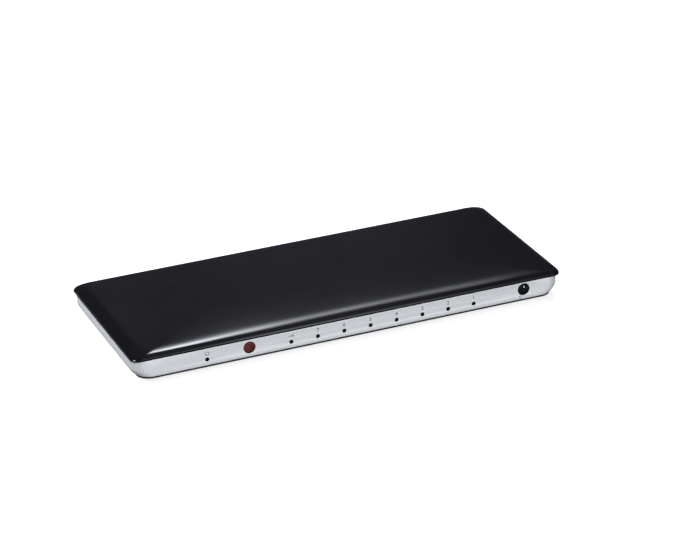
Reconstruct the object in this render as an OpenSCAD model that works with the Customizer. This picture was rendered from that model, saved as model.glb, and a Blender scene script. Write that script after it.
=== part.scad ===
/* [Case] */
// Depth of the top cover, front to rear
case_w = 96; // [88:0.5:110]
// Height of the silver side band
band_h = 9.1; // [9:0.1:14]
// Height of the top cover above the band
cover_h = 4.6; // [4.2:0.1:8]
// Thickness of the bottom plate
base_t = 0.9; // [0.8:0.1:1.6]
// Height of the rubber feet
foot_h = 1.3; // [1.2:0.1:4]
// Wall thickness of the band and the cover
wall = 2; // [1.6:0.1:2.6]
// How far the cover stands out past the band
overhang = 0.6; // [0.4:0.1:1.4]
// How far each end of the band slopes in at its lower edge
end_slope = 3; // [1:0.1:4]
// Height of that slope
end_rise = 2.8; // [1:0.1:5]
// Corner radius of the cover, seen from above
cover_r = 4.5; // [4:0.5:9]
// Corner radius of the band at its bottom edge, seen from above
band_r = 7.5; // [6:0.5:14]
// Step in from the band to the edge of the bottom plate
base_step = 0.3; // [0.1:0.1:0.8]

/* [Cover form] */
// Height of the upright lip at the cover's edge
lip_h = 1.1; // [0.6:0.1:1.6]
// Width of the rounded shoulder
shoulder_w = 7; // [4:0.5:12]
// Rise of the crowned top from the shoulder to the middle
crown_h = 0.5; // [0.1:0.1:1]
// Corner radius where the shoulder meets the crown
crown_r = 15; // [8:0.5:22]
// Bevel at the foot of the lip
lip_bevel = 0.35; // [0.1:0.05:0.5]
// Depth of the locating skirt inside the band
skirt_h = 1.5; // [1:0.1:2]
// Thickness of the skirt and of the ribs
rib_t = 1.2; // [0.8:0.1:1.6]
// Depth of the stiffening ribs under the roof
rib_h = 1.2; // [0.6:0.1:1.6]

/* [Rear ports] */
// Distance from port to port
port_pitch = 24; // [20:0.5:30]
// From the output port to that end of the cover
port_margin = 25.3; // [24:0.1:40]
// From the first input port to the power jack
jack_gap = 17.3; // [14:0.1:30]
// From the power jack to that end of the cover
jack_margin = 18; // [17.5:0.1:40]
// Width of a socket's opening
port_w = 14; // [13.8:0.05:14.4]
// Height of a socket's opening
port_h = 4.55; // [4.4:0.05:4.8]
// Chamfer at the lower corners of the opening
port_chamfer = 2; // [1.5:0.1:2.2]
// Length of a socket's shell
shell_l = 11.2; // [10:0.1:14]
// Sheet thickness of the shells and spring contacts
sheet_t = 0.35; // [0.3:0.05:0.4]
// Outward flare of the lip round a socket's mouth
lip_flare = 0.15; // [0.05:0.05:0.3]
// Width of a socket's tongue
tongue_w = 11.2; // [10.6:0.1:11.6]
// Thickness of a socket's tongue
tongue_t = 1.15; // [1:0.05:1.3]
// Bore of the power jack
jack_d = 5.7; // [5.5:0.1:6]
// Diameter of the power jack's centre pin
jack_pin_d = 2.1; // [1.9:0.1:2.5]
// Width of the power jack's housing
jack_w = 8; // [7.6:0.1:9]
// Depth of the power jack's housing
jack_l = 13; // [12:0.5:15]

/* [Front panel] */
// From the select button to that end of the cover
button_margin = 21.2; // [18:0.1:30]
// From the select button to the first lamp
lamp_gap = 27.7; // [20:0.1:40]
// Distance from lamp to lamp
lamp_pitch = 14; // [10:0.5:16]
// From the last lamp to the receiver window
window_gap = 21.8; // [15:0.1:28]
// From the receiver window to the power lamp
power_gap = 21.9; // [15:0.1:28]
// Diameter of the lamp holes
lamp_d = 1.5; // [1:0.1:2]
// Diameter of the receiver window
window_d = 6; // [5:0.1:6.4]
// Diameter of the select button
button_d = 5.6; // [4:0.1:6]
// How far the select button stands out of the band
button_proud = 0.7; // [0.3:0.1:0.7]
// Rise of the select button's domed face
dome_h = 0.55; // [0.3:0.05:0.6]
// Travel of the select button
button_travel = 0.4; // [0.2:0.05:0.5]

/* [Board] */
// Thickness of the circuit board
board_t = 1.2; // [1:0.1:1.6]
// Height of the stand-offs under the board
standoff_h = 0.8; // [0.7:0.1:2]
// Diameter of the cover's screw posts
post_d = 6.4; // [5:0.1:6.6]
// Shaft diameter of the case screws
case_screw_d = 2.2; // [1.8:0.1:2.6]
// Shaft diameter of the board screws
board_screw_d = 2.4; // [2:0.1:3]
// Diameter of the rubber feet
foot_d = 10; // [8:0.5:14]

/* [Clearances] */
// Gap between parts that fit together and stay still
fit_gap = 0.2; // [0.1:0.05:0.3]
// Gap round parts that move
slide_gap = 0.3; // [0.3:0.05:0.4]
// Gap round a screw's thread
thread_gap = 0.05; // [0.04:0.01:0.1]

/* [Hidden] */
$fn = 48;
eps = 0.02;
port_count = 8;
input_count = port_count - 1;

// Heights from the surface that the box stands on
base_z = foot_h;
band_z = base_z + base_t;
rim_z = band_z + band_h;
roof_z = rim_z + cover_h - crown_h - wall;
board_z = band_z + standoff_h;
board_top = board_z + board_t;

// Plan half sizes
case_l = port_margin + input_count * port_pitch + jack_gap + jack_margin;
half_l = case_l / 2;
half_w = case_w / 2;
band_top_l = half_l - overhang;
band_bot_l = band_top_l - end_slope;
band_w = half_w - overhang;
band_top_r = cover_r - overhang;
inner_w = band_w - wall;
inner_bot_l = band_bot_l - wall;

// Places along the rear panel, first input port first
jack_x = half_l - jack_margin;
port_x = [for (i = [0:port_count - 1]) jack_x - jack_gap - i * port_pitch];
mouth_step = 0.2;
mouth_y = band_w - mouth_step;
shell_w = port_w + 2 * sheet_t;
shell_h = port_h + 2 * sheet_t;
port_z = board_top + shell_h / 2;
sheet_r = 0.5;
lip_l = 0.5;
leg_w = 1.5;
front_leg = 5.7;
back_leg = 1.3;
leg_y = [mouth_y - front_leg, mouth_y - shell_l + back_leg];
leg_drop = 0.4;
roof_spring_l = 5;
roof_spring_gap = 0.4;
roof_spring_step = 1;
insert_l = 4.2;
insert_gap = 0.05;
tongue_step = 1;
tongue_rise = 0.25;
contact_w = 0.35;
contact_t = 0.08;
contact_l = 4.8;
contact_pitch = 1;
contact_step = 0.4;
contact_top_count = 10;

// Power jack
jack_wall = 0.45;
jack_z = board_top + jack_d / 2 + jack_wall;
jack_h = jack_d + 2 * jack_wall;
jack_bore_l = 9.6;
jack_y = inner_w - fit_gap;
jack_pin_step = 1;
jack_root_d = 2.6;
spring_pocket = 0.8;
spring_step = 1.5;
spring_w = 2;

// Places along the front panel
button_x = half_l - button_margin;
lamp_x = [for (i = [0:port_count - 1]) button_x - lamp_gap - i * lamp_pitch];
window_x = lamp_x[port_count - 1] - window_gap;
power_x = window_x - power_gap;
lamp_rise = 1.2;
lamp_z = board_top + lamp_rise;
button_rise = 3.3;
button_z = board_top + button_rise;
window_rise = 2.9;
window_z = board_top + window_rise;
collar_d = 7;
collar_t = 0.8;
collar_gap = 0.15;
stem_d = 3;
stem_l = 2.8;
hole_d = button_d + 2 * slide_gap;
window_step = 0.2;

// Push switch behind the select button
plunger_d = 3.5;
plunger_out = 1.6;
plunger_in = 0.6;
switch_w = 6;
switch_l = 3.5;
switch_front = inner_w - collar_gap - collar_t - stem_l - plunger_out;
snap_room = 0.6;
snap_h = 0.4;
snap_t = 0.12;
switch_pocket = plunger_in + button_travel + snap_room;

// Receiver behind the window
receiver = [5.2, 3.2, 6];
receiver_lens_d = 4;
receiver_gap = 0.4;
receiver_front = -inner_w + collar_t + receiver_gap + receiver_lens_d / 2;
receiver_lead = [0.5, 0.5, 2.5];
lead_pitch = 1.5;

// Circuit board and its fixings
post_inset = [4.6, 7.5];
post_x = inner_bot_l - post_inset.x;
post_y = inner_w - post_inset.y;
board_post_gap = 0.6;
board_l = post_x - post_d / 2 - board_post_gap;
board_front_gap = 1.6;
board_rear_gap = 2.4;
board_front = inner_w - board_front_gap;
board_rear = inner_w - board_rear_gap;
board_r = 2;
board_screw_inset = 8;
board_screw_step = 10;
board_screw_x = board_l - board_screw_inset;
board_screw_y = post_y - board_screw_step;
standoff_d = 6;
flange_h = 1.5;
flange_t = 0.9;
pilot_l = 8;
screw_l = 6.5;
head_d = 4.4;
head_h = 0.9;
head_taper = 0.6;
board_head_h = 1.5;
recess_w = 0.6;
foot_step = [15, 4];
foot_x = post_x - foot_step.x;
foot_y = post_y - foot_step.y;
relief_l = 4;
slot_gap = 0.3;
lamp = [3, 1.2, 2];
lamp_front = -board_front + 0.1;
lens_sink = 0.2;

// Rows of parts on the board, set back from its rear or front screws
chip_row = board_screw_y - 13;
can_row = board_screw_y - 8;
regulator_row = board_screw_y - 17;
inductor_row = 20 - board_screw_y;
logic_row = 12 - board_screw_y;
controller_x = port_x[3];
supply_x = board_screw_x - 8;
switch_chip = [9, 9, 0.9];
redriver_chip = [7, 7, 0.9];
controller_chip = [7, 7, 1.4];
memory_chip = [5, 4, 1.5];
logic_pitch = 15;
chip_bevel = 0.2;
dimple_d = 0.8;
dimple_step = 1;
dimple_h = 0.1;

// Points of the arc that rounds corner p, between neighbours a and b
function unit(v) = v / norm(v);
function corner_arc(a, p, b, r, n) =
  let (u = unit(a - p), v = unit(b - p))
  let (half = acos(u * v) / 2, c = p + unit(u + v) * r / sin(half))
  let (s = p + u * r / tan(half) - c, e = p + v * r / tan(half) - c)
  [for (i = [0:n]) c + r * unit(s * (n - i) + e * i)];

// Closed outline with every corner rounded by r
function rounded(pts, r, n = 4) =
  let (m = len(pts))
  [for (k = [0:m - 1]) each corner_arc(pts[(k + m - 1) % m], pts[k], pts[(k + 1) % m], r, n)];

// Socket outline with its lower corners cut off, grown evenly by g on all sides
function port_outline(g) =
  let (x = port_w / 2 + g, z = port_h / 2 + g, c = port_chamfer + g * (2 - sqrt(2)))
  rounded([[x, z], [-x, z], [-x, c - z], [c - x, -z], [x - c, -z], [x, c - z]], sheet_r + g);

// Inset and height of each layer of the cover, from the foot of the lip to the crown
function cover_layers() =
  let (shoulder_h = cover_h - lip_h - crown_h, span = half_w - shoulder_w)
  concat(
    [[lip_bevel, 0], [0, lip_bevel]],
    [for (a = [0:18:90]) [shoulder_w * (1 - cos(a)), lip_h + shoulder_h * sin(a)]],
    [for (t = [0.25, 0.5, 0.75]) [shoulder_w + span * t, cover_h - crown_h * pow(1 - t / 0.75, 2)]]
  );

module round_rect(x, y, r) {
  square([2 * (x - r), 2 * y], center = true);
  square([2 * x, 2 * (y - r)], center = true);
  for (sx = [-1, 1], sy = [-1, 1])
    translate([sx * (x - r), sy * (y - r)])
      circle(r);
}

module slab(x, y, r, z, h) {
  translate([0, 0, z])
    linear_extrude(h)
      round_rect(x, y, r);
}

// Block standing on the board, with its middle at x, y
module on_board(x, y, size) {
  translate([x - size.x / 2, y - size.y / 2, board_top])
    cube(size);
}

// Shape extruded along Y, with its face at y and its body behind it
module along_rear(x, y, z, l) {
  translate([x, y, z])
    rotate([90, 0, 0])
      linear_extrude(l)
        children();
}

// Round bar along Y, from y to y + l
module bar_y(x, y, z, d, l) {
  translate([x, y, z])
    rotate([-90, 0, 0])
      cylinder(d = d, h = l);
}

module at_posts() {
  for (sx = [-1, 1], sy = [-1, 1])
    translate([sx * post_x, sy * post_y, 0])
      children();
}

module at_board_screws() {
  for (sx = [-1, 1], sy = [-1, 1])
    translate([sx * board_screw_x, sy * board_screw_y, 0])
      children();
}

// Room in a rim, from z up to z + h, for the collars of the window and the button
module collar_reliefs(z, h) {
  for (x = [window_x, button_x])
    translate([x - collar_d / 2 - slide_gap, -inner_w - 1, z])
      cube([collar_d + 2 * slide_gap, relief_l + 1, h]);
}

// Crowned form of the cover, lofted through its layers
module cover_form() {
  hull()
    for (p = cover_layers()) {
      r = cover_r + (crown_r - cover_r) * min(p.x / shoulder_w, 1);
      slab(half_l - p.x, half_w - p.x, r, rim_z + p.y - (p.y > 0 ? eps : 0), eps, $fn = 32);
    }
}

// Cover with the skirt that drops inside the band, hollowed from below
module cover_shell() {
  skirt_l = band_top_l - wall - fit_gap;
  skirt_w = inner_w - fit_gap;
  skirt_r = band_r - wall;
  skirt_z = rim_z - skirt_h;
  pocket_z = rim_z + lip_h;
  difference() {
    union() {
      cover_form();
      slab(skirt_l, skirt_w, skirt_r, skirt_z, skirt_h + lip_h / 2);
    }
    slab(skirt_l - rib_t, skirt_w - rib_t, skirt_r - rib_t, skirt_z - 1, pocket_z - skirt_z + 1);
    slab(half_l - shoulder_w - 1, half_w - shoulder_w - 1, skirt_r, pocket_z - 1, roof_z - pocket_z + 1);
    // the connectors, window and button need the skirt cleared away
    translate([-board_l, inner_w - relief_l, skirt_z - 1])
      cube([2 * board_l, relief_l + 1, skirt_h + 1]);
    collar_reliefs(skirt_z - 1, skirt_h + 1);
  }
}

// Long and cross ribs under the roof, reaching up into it
module cover_ribs() {
  for (y = [-half_w / 3, 0, half_w / 3])
    translate([-post_x, y - rib_t / 2, roof_z - rib_h])
      cube([2 * post_x, rib_t, rib_h + wall / 2]);
  for (x = [-half_l / 2, 0, half_l / 2])
    translate([x - rib_t / 2, -post_y, roof_z - rib_h])
      cube([rib_t, 2 * post_y, rib_h + wall / 2]);
}

module top_cover() {
  color([0.07, 0.07, 0.08])
    difference() {
      union() {
        cover_shell();
        cover_ribs();
        at_posts()
          translate([0, 0, band_z])
            cylinder(d = post_d, h = (rim_z + roof_z) / 2 + wall / 2 - band_z);
      }
      at_posts()
        translate([0, 0, band_z - 1])
          cylinder(d = case_screw_d + 2 * thread_gap, h = pilot_l + 1);
    }
}

// Form of the band, or of its inside when set in by a step, drawn out past its top and bottom by a reach
module band_form(step, top_r, bottom_r, reach) {
  hull() {
    slab(band_bot_l - step, band_w - step, bottom_r, band_z - reach, eps);
    slab(band_top_l - step, band_w - step, top_r, band_z + end_rise, band_h - end_rise + reach);
  }
}

module side_band() {
  color([0.78, 0.78, 0.79])
    difference() {
      band_form(0, band_top_r, band_r, 0);
      band_form(wall, band_top_r - wall / 2, band_r - wall, eps);
      for (x = concat(lamp_x, [power_x]))
        bar_y(x, -band_w - 1, lamp_z, lamp_d, wall + 2);
      bar_y(window_x, -band_w - 1, window_z, window_d + 2 * thread_gap, wall + 2);
      bar_y(button_x, -band_w - 1, button_z, hole_d, wall + 2);
      for (x = port_x)
        along_rear(x, band_w + 1, port_z, wall + 2)
          polygon(port_outline(sheet_t + lip_flare + fit_gap));
      bar_y(jack_x, inner_w - 1, jack_z, jack_d + 2 * fit_gap, wall + 2);
    }
}

module bottom_cover() {
  plate_l = band_bot_l - base_step;
  plate_w = band_w - base_step;
  flange_l = inner_bot_l - fit_gap;
  flange_w = inner_w - fit_gap;
  flange_r = band_r - wall - fit_gap;
  color([0.09, 0.09, 0.1])
    difference() {
      union() {
        slab(plate_l, plate_w, band_r - base_step, base_z, base_t);
        difference() {
          slab(flange_l, flange_w, flange_r, band_z, flange_h);
          slab(flange_l - flange_t, flange_w - flange_t, flange_r - flange_t, band_z, flange_h + 1);
          collar_reliefs(band_z, flange_h + 1);
        }
        at_board_screws()
          translate([0, 0, band_z])
            cylinder(d = standoff_d, h = standoff_h);
      }
      at_posts()
        translate([0, 0, base_z - 1])
          cylinder(d = case_screw_d + 2 * fit_gap, h = base_t + 2);
      at_board_screws()
        translate([0, 0, base_z - 1])
          cylinder(d = board_screw_d + 2 * thread_gap, h = base_t + standoff_h + 2);
    }
}

module rubber_feet() {
  color([0.13, 0.13, 0.13])
    for (sx = [-1, 1], sy = [-1, 1])
      translate([sx * foot_x, sy * foot_y, 0])
        cylinder(d1 = foot_d - foot_h, d2 = foot_d, h = foot_h);
}

// Pan head with a cross recess, its shaft pointing up from the origin
module pan_screw(d, l, h) {
  difference() {
    union() {
      cylinder(d = d, h = l);
      translate([0, 0, -h])
        cylinder(d1 = head_d - head_taper * h, d2 = head_d, h = h);
    }
    for (a = [0, 90])
      rotate(a)
        translate([-head_d / 4, -recess_w / 2, -h - 1])
          cube([head_d / 2, recess_w, 1 + h / 2]);
  }
}

module case_screws() {
  color([0.16, 0.16, 0.17])
    at_posts()
      translate([0, 0, base_z])
        pan_screw(case_screw_d, base_t + screw_l, head_h);
}

module board_screws() {
  color([0.7, 0.68, 0.6])
    at_board_screws()
      translate([0, 0, board_top])
        rotate([180, 0, 0])
          pan_screw(board_screw_d, board_t + standoff_h + base_t / 2, board_head_h);
}

module main_board() {
  color([0.05, 0.27, 0.15])
    difference() {
      translate([0, (board_rear - board_front) / 2, 0])
        slab(board_l, (board_rear + board_front) / 2, board_r, board_z, board_t);
      at_board_screws()
        translate([0, 0, board_z - 1])
          cylinder(d = board_screw_d + 2 * fit_gap, h = board_t + 2);
      for (x = port_x, side = [-1, 1], y = leg_y)
        translate([x + side * (shell_w - sheet_t) / 2, y, board_z + board_t / 2])
          cube([sheet_t + 2 * slot_gap, leg_w + 2 * slot_gap, board_t + 1], center = true);
    }
}

// Formed steel shell with a flared mouth, two roof springs and four legs
module hdmi_shell(i) {
  x = port_x[i];
  slit_l = roof_spring_l;
  slit_w = spring_w + 2 * roof_spring_gap;
  color([0.8, 0.7, 0.47])
    difference() {
      union() {
        along_rear(x, mouth_y, port_z, shell_l)
          polygon(port_outline(sheet_t));
        along_rear(x, mouth_y, port_z, lip_l)
          polygon(port_outline(sheet_t + lip_flare));
        for (side = [-1, 1], y = leg_y)
          translate([x + side * (shell_w - sheet_t) / 2 - sheet_t / 2, y - leg_w / 2, board_z - leg_drop])
            cube([sheet_t, leg_w, port_z - board_z + leg_drop]);
      }
      along_rear(x, mouth_y + 1, port_z, shell_l + 2)
        polygon(port_outline(0));
      for (side = [-1, 1])
        translate([x + side * port_w / 4, mouth_y - lip_l - slit_l - roof_spring_step, port_z])
          difference() {
            translate([-slit_w / 2, 0, 0])
              cube([slit_w, slit_l, port_h]);
            translate([-spring_w / 2, -1, 0])
              cube([spring_w, slit_l + 1 - roof_spring_gap, port_h]);
          }
    }
}

// Moulded core that closes the shell's back and carries the contact tongue
module hdmi_insert(i) {
  x = port_x[i];
  back_y = mouth_y - shell_l;
  color([0.08, 0.08, 0.08]) {
    along_rear(x, back_y + insert_l, port_z, insert_l)
      polygon(port_outline(-insert_gap));
    translate([x - tongue_w / 2, back_y + insert_l, port_z + tongue_rise - tongue_t / 2])
      cube([tongue_w, shell_l - insert_l - tongue_step, tongue_t]);
  }
}

// Gold strips on both faces of every tongue, one more above than below
module hdmi_contacts() {
  tip_y = mouth_y - tongue_step - contact_step;
  color([0.9, 0.75, 0.3])
    for (x = port_x, face = [1, -1])
      let (count = face > 0 ? contact_top_count : contact_top_count - 1)
        for (k = [0:count - 1])
          translate([
            x + (k - (count - 1) / 2) * contact_pitch - contact_w / 2,
            tip_y - contact_l,
            port_z + tongue_rise + face * (tongue_t + contact_t) / 2 - contact_t / 2
          ])
            cube([contact_w, contact_l, contact_t]);
}

module dc_jack_body() {
  color([0.07, 0.07, 0.07])
    difference() {
      translate([jack_x - jack_w / 2, jack_y - jack_l, board_top])
        cube([jack_w, jack_l, jack_h]);
      bar_y(jack_x, jack_y - jack_bore_l, jack_z, jack_d, jack_bore_l + 1);
      bar_y(jack_x, jack_y - jack_l - 1, jack_z, jack_root_d + 2 * insert_gap, jack_l);
      // pocket in the bore's side that the spring contact lies in
      translate([jack_x - jack_d / 2 - spring_pocket, jack_y - jack_bore_l, jack_z - spring_w / 2 - fit_gap])
        cube([jack_d / 2, jack_bore_l - spring_step, spring_w + 2 * fit_gap]);
    }
}

// Round-nosed pin with a thicker root in the housing's back wall
module dc_jack_pin() {
  pin_l = jack_bore_l - jack_pin_step - jack_pin_d / 2;
  color([0.75, 0.75, 0.74]) {
    bar_y(jack_x, jack_y - jack_l, jack_z, jack_root_d, jack_l - jack_bore_l);
    bar_y(jack_x, jack_y - jack_bore_l, jack_z, jack_pin_d, pin_l);
    translate([jack_x, jack_y - jack_pin_step - jack_pin_d / 2, jack_z])
      sphere(d = jack_pin_d);
  }
}

module dc_jack_spring() {
  color([0.8, 0.7, 0.45])
    translate([
      jack_x - jack_d / 2 - spring_pocket + insert_gap,
      jack_y - jack_bore_l + insert_gap,
      jack_z - spring_w / 2
    ])
      cube([sheet_t, jack_bore_l - spring_step - 2 * insert_gap, spring_w]);
}

// Domed cap with a collar that keeps it behind the band and a stem to the switch
module select_button() {
  face_y = -band_w - button_proud;
  collar_y = -inner_w + collar_gap;
  dome_r = (pow(button_d / 2, 2) + pow(dome_h, 2)) / (2 * dome_h);
  color([0.05, 0.05, 0.05]) {
    intersection() {
      bar_y(button_x, face_y - 1, button_z, button_d, collar_y - face_y + 1);
      translate([button_x, face_y + dome_r, button_z])
        sphere(dome_r, $fn = 96);
    }
    bar_y(button_x, collar_y, button_z, collar_d, collar_t);
    bar_y(button_x, collar_y + collar_t, button_z, stem_d, stem_l);
  }
}

module switch_plunger() {
  color([0.12, 0.12, 0.12])
    bar_y(button_x, -switch_front - plunger_out, button_z, plunger_d, plunger_out + plunger_in);
}

module switch_housing() {
  color([0.1, 0.1, 0.1])
    difference() {
      on_board(button_x, -switch_front + switch_l / 2, [switch_w, switch_l, 2 * button_rise]);
      bar_y(button_x, -switch_front - 1, button_z, plunger_d + 2 * slide_gap, switch_pocket + 1);
    }
}

// Snap dome at the bottom of the switch's pocket, crowned towards the plunger
module switch_dome() {
  rim_d = plunger_d - fit_gap;
  dome_r = (pow(rim_d / 2, 2) + pow(snap_h, 2)) / (2 * snap_h);
  floor_y = -switch_front + switch_pocket;
  color([0.8, 0.8, 0.78])
    intersection() {
      bar_y(button_x, floor_y - 1, button_z, rim_d, 1);
      translate([button_x, floor_y - snap_h + dome_r, button_z])
        difference() {
          sphere(dome_r, $fn = 160);
          sphere(dome_r - snap_t, $fn = 160);
        }
    }
}

module ir_window() {
  color([0.23, 0.07, 0.06]) {
    bar_y(window_x, -band_w + window_step, window_z, window_d, wall - window_step);
    bar_y(window_x, -inner_w, window_z, collar_d, collar_t);
  }
}

// Epoxy block with a round lens towards the window
module ir_receiver() {
  d = receiver_lens_d;
  color([0.1, 0.08, 0.1]) {
    on_board(window_x, receiver_front + receiver.y / 2, receiver);
    intersection() {
      translate([window_x, receiver_front, window_z])
        sphere(d = d);
      translate([window_x - d, receiver_front - d, window_z - d])
        cube([2 * d, d, 2 * d]);
    }
  }
}

// Three leads bent down from the back of the receiver to the board
module ir_receiver_pins() {
  lead_y = receiver_front + receiver.y + receiver_lead.y / 2;
  color([0.8, 0.8, 0.8])
    for (k = [-1, 0, 1])
      on_board(window_x + k * lead_pitch, lead_y, receiver_lead);
}

// Side-looking lamp at the front edge of the board
module panel_lamp(x) {
  color([0.9, 0.9, 0.85]) {
    on_board(x, lamp_front + lamp.y / 2, lamp);
    intersection() {
      translate([x, lamp_front + lens_sink, lamp_z])
        sphere(d = lamp_d);
      translate([x - lamp_d, lamp_front - lamp_d, lamp_z - lamp_d])
        cube([2 * lamp_d, lamp_d, 2 * lamp_d]);
    }
  }
}

// Square chip with a bevelled top edge and a dimple by its first pin
module chip(x, y, size) {
  color([0.09, 0.09, 0.1])
    difference() {
      on_board(x, y, size);
      for (side = [-1, 1])
        translate([x + side * size.x / 2, y, board_top + size.z])
          rotate([0, 45, 0])
            cube([chip_bevel, size.y + 1, chip_bevel], center = true);
      translate([
        x - size.x / 2 + dimple_step,
        y - size.y / 2 + dimple_step,
        board_top + size.z - dimple_h
      ])
        cylinder(d = dimple_d, h = 1);
    }
}

// Power transistor package: body, cooling tab and three leads
module regulator_ic() {
  x = supply_x - 10;
  y = regulator_row;
  body = [6.5, 3.5, 1.6];
  tab = [3, 2.7, 0.5];
  lead = [0.7, 1.3, 0.4];
  pitch = 2.3;
  color([0.09, 0.09, 0.1]) {
    on_board(x, y, body);
    on_board(x, y + (body.y + tab.y) / 2, tab);
    for (k = [-1, 0, 1])
      on_board(x + k * pitch, y - (body.y + lead.y) / 2, lead);
  }
}

module power_inductor() {
  size = [6, 6, 2.8];
  core_d = 4.2;
  core_step = 0.3;
  color([0.25, 0.25, 0.26])
    difference() {
      on_board(supply_x, inductor_row, size);
      translate([supply_x, inductor_row, board_top + size.z - core_step])
        cylinder(d = core_d, h = 1);
    }
}

// Two upright cans with a square foot and a scored top
module filter_capacitors() {
  can_d = 6.3;
  can_h = 5.4;
  foot = 0.8;
  score = [0.3, 0.2];
  pitch = 8;
  color([0.75, 0.75, 0.76])
    for (k = [0, 1])
      translate([supply_x + k * pitch, can_row, 0]) {
        on_board(0, 0, [can_d, can_d, foot]);
        translate([0, 0, board_top + foot - eps])
          difference() {
            cylinder(d = can_d, h = can_h - foot);
            translate([-can_d, -score.x / 2, can_h - foot - score.y])
              cube([2 * can_d, score.x, 1]);
          }
      }
}

// Ceramic base with a smaller soldered lid
module clock_crystal() {
  base = [5, 3.2, 0.7];
  lid_step = 0.3;
  lid_h = 0.4;
  translate([controller_x - logic_pitch, logic_row, 0])
    color([0.75, 0.74, 0.7]) {
      on_board(0, 0, base);
      translate([0, 0, board_top + base.z - eps])
        linear_extrude(lid_h)
          round_rect(base.x / 2 - lid_step, base.y / 2 - lid_step, lid_step);
    }
}

top_cover();
side_band();
bottom_cover();
rubber_feet();
case_screws();
board_screws();
main_board();
for (i = [1:input_count]) {
  hdmi_shell(i - 1);
  hdmi_insert(i - 1);
  panel_lamp(lamp_x[i - 1]);
}
hdmi_shell(input_count);  // hdmi_shell_out
hdmi_insert(input_count);  // hdmi_insert_out
hdmi_contacts();
dc_jack_body();
dc_jack_pin();
dc_jack_spring();
select_button();
switch_plunger();
switch_housing();
switch_dome();
ir_window();
ir_receiver();
ir_receiver_pins();
panel_lamp(power_x);  // led_power
panel_lamp(lamp_x[input_count]);  // led_out
chip((port_x[4] + port_x[5]) / 2, chip_row, switch_chip);  // switch_ic_a
chip((port_x[1] + port_x[2]) / 2, chip_row, switch_chip);  // switch_ic_b
chip((port_x[6] + port_x[7]) / 2, chip_row, redriver_chip);  // redriver_ic
chip(controller_x, logic_row, controller_chip);  // controller_ic
chip(controller_x + logic_pitch, logic_row, memory_chip);  // memory_ic
regulator_ic();
power_inductor();
filter_capacitors();
clock_crystal();
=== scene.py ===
import math
import bmesh
import bpy
import numpy as np
from mathutils import Matrix, Vector
from mathutils.geometry import tessellate_polygon


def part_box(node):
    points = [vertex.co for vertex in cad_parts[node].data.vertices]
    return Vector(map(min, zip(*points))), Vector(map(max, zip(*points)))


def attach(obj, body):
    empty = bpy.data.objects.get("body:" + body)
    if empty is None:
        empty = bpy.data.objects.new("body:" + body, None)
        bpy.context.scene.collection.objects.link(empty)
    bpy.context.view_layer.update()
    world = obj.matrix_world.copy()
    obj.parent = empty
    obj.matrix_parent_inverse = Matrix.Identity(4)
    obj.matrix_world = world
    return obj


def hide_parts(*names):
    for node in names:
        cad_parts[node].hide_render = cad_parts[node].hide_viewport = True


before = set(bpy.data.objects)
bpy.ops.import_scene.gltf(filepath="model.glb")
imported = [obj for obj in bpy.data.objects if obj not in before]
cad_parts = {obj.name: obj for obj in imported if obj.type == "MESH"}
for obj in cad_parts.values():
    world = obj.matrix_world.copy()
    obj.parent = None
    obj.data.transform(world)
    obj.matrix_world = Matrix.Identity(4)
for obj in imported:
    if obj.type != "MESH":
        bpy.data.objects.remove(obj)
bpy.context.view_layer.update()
mm = 0.001
print("frame:", len(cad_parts), "nodes")


def boxOf(node):
    # lowest and highest corner of a node, in millimetres
    low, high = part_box(node)
    return np.array(low) / mm, np.array(high) / mm


def cornerPlaces(node, margin):
    # the four places that lie this far in from the corners of a node's box
    low, high = boxOf(node)
    return [(x, y, 0) for x in (low[0] + margin, high[0] - margin)
            for y in (low[1] + margin, high[1] - margin)]


# mesh tools

def gridFaces(rows, cols):
    # each quad joins a point to its next neighbours along the row and the column;
    # the last column meets the first
    row, col = np.meshgrid(np.arange(rows - 1), np.arange(cols), indexing="ij")
    nextCol = (col + 1) % cols
    quads = (row * cols + col, row * cols + nextCol, (row + 1) * cols + nextCol, (row + 1) * cols + col)
    return np.stack(quads, -1).reshape(-1, 4).tolist()


def stripFaces(rows):
    # faces of a four-sided strip, both ends closed
    last = 4 * (rows - 1)
    return gridFaces(rows, 4) + [[0, 1, 2, 3], [last, last + 1, last + 2, last + 3]]


def patch(points, faces, flat=False, finish=0):
    # part of a piece: points in millimetres, faces by index, flat for a plane that keeps its own normal,
    # and the number of its finish in the piece's list
    points = np.asarray(points, float).reshape(-1, 3)
    return {"points": points, "faces": faces, "flat": flat, "finish": finish}


def makePiece(name, patches, finishes, body="case", stands=(), sharp=38):
    # joins patches, welds their shared edges, turns normals outwards, shades smooth up to the sharp angle
    weld = 0.002
    starts = np.cumsum([0] + [len(p["points"]) for p in patches])
    faces = [[start + i for i in face] for start, p in zip(starts, patches) for face in p["faces"]]
    mesh = bpy.data.meshes.new(name)
    mesh.from_pydata((np.concatenate([p["points"] for p in patches]) * mm).tolist(), [], faces)
    mesh.polygons.foreach_set("use_smooth", [not p["flat"] for p in patches for face in p["faces"]])
    mesh.polygons.foreach_set("material_index", [p["finish"] for p in patches for face in p["faces"]])
    work = bmesh.new()
    work.from_mesh(mesh)
    bmesh.ops.remove_doubles(work, verts=work.verts, dist=weld * mm)
    bmesh.ops.recalc_face_normals(work, faces=work.faces)
    work.to_mesh(mesh)
    work.free()
    mesh.set_sharp_from_angle(angle=math.radians(sharp))
    for finish in finishes:
        mesh.materials.append(finish)
    piece = bpy.data.objects.new(name, mesh)
    bpy.context.scene.collection.objects.link(piece)
    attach(piece, body)
    if stands:
        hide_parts(*stands)


def arc(centreX, centreY, radius, start, end, steps):
    # points of a circle's arc between two angles in degrees
    turn = np.radians(np.linspace(start, end, steps + 1))
    return np.stack((centreX + radius * np.cos(turn), centreY + radius * np.sin(turn)), -1)


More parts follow.
